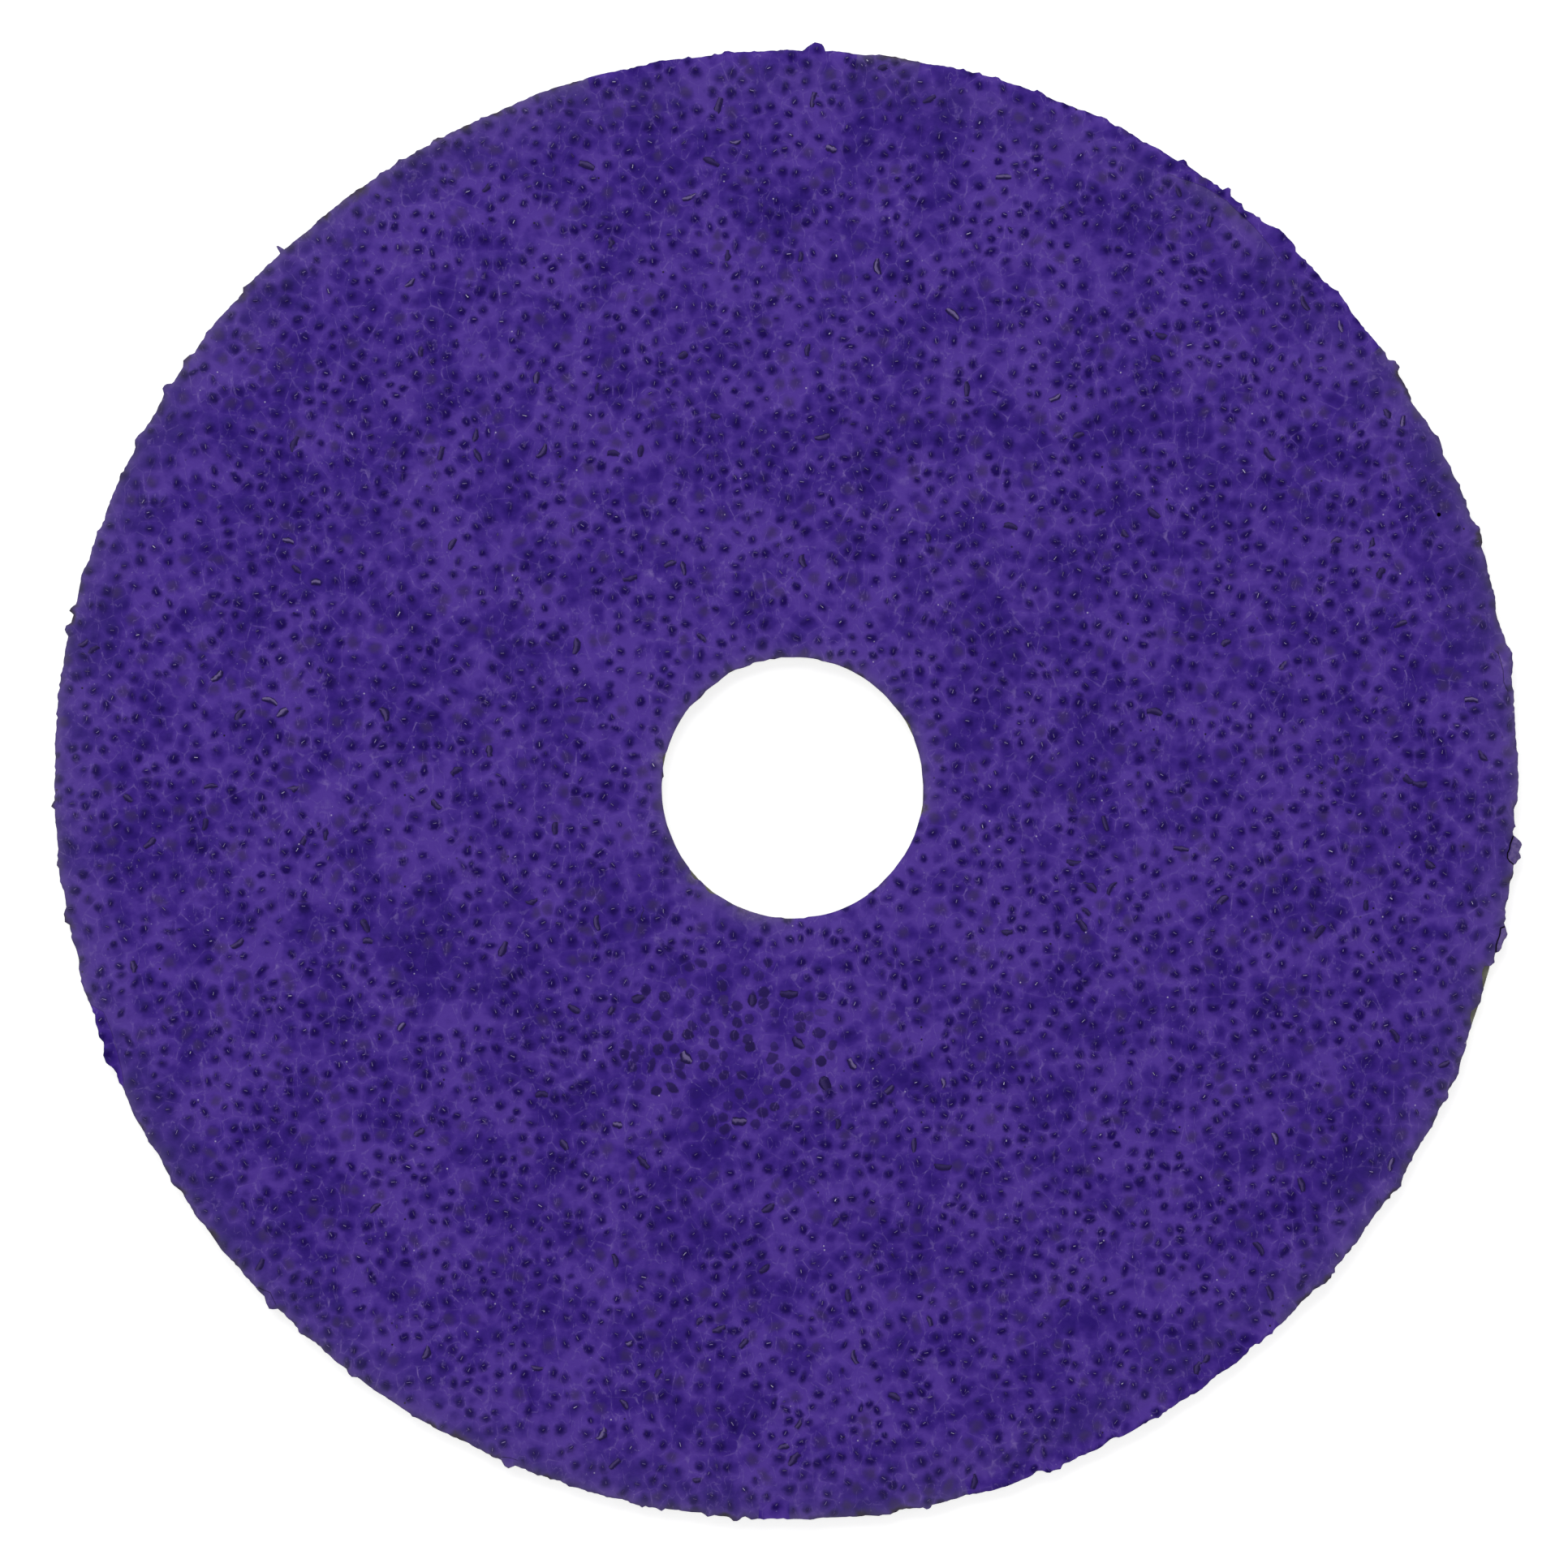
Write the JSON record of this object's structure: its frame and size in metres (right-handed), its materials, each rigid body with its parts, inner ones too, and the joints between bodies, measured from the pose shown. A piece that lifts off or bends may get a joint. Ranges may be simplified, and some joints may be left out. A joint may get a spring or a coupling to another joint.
{
  "type": "fibre sanding disc",
  "caption": "Flat round abrasive disc with a central hole: a thin vulcanised fibre backing with a coarse violet grain coat on its upper face, ragged at the rim.",
  "frame": {"origin": "on the hole's axis, in the flat back face of the fibre; the rim's centre lies about 0.6 mm off that axis, as in the picture", "axes": "+Z along the hole's axis, from the back face out of the grain face; +X to the right and +Y up in the picture, which looks straight down on the grain face"},
  "size_m": [0.1254, 0.126, 0.002],
  "materials": {
    "vulcanised_fibre": "matte",
    "resin_bound_grain": "satin"
  },
  "bodies": {
    "root": {"fibre_backing": "vulcanised_fibre", "abrasive_coat": "resin_bound_grain"}
  },
  "joints": []
}
